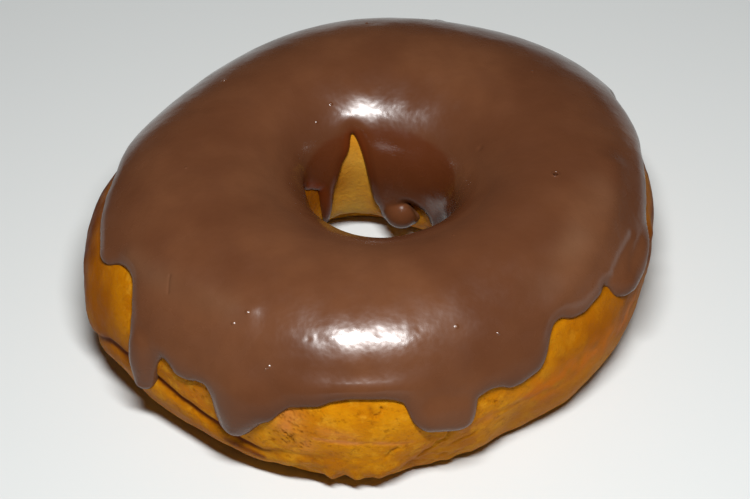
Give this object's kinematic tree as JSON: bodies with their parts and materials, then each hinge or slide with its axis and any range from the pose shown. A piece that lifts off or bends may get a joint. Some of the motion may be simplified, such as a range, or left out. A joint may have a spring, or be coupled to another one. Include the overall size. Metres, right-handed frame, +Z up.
{
  "type": "doughnut",
  "caption": "Ring doughnut with a poured coat of milk-chocolate icing that runs down the golden fried dough in drips",
  "frame": {"origin": "bottom centre of the whole, on the surface that it rests on, close to the middle of the hole", "axes": "+Z up out of the hole; -Y towards the front, which carries the long drips; +X to the right seen from the front"},
  "size_m": [0.095, 0.0913, 0.0335],
  "materials": {
    "fried_dough": "golden-orange fried crust, satin",
    "chocolate_icing": "set milk-chocolate icing, satin gloss"
  },
  "bodies": {
    "root": {"dough": "fried_dough", "icing": "chocolate_icing"}
  },
  "joints": []
}
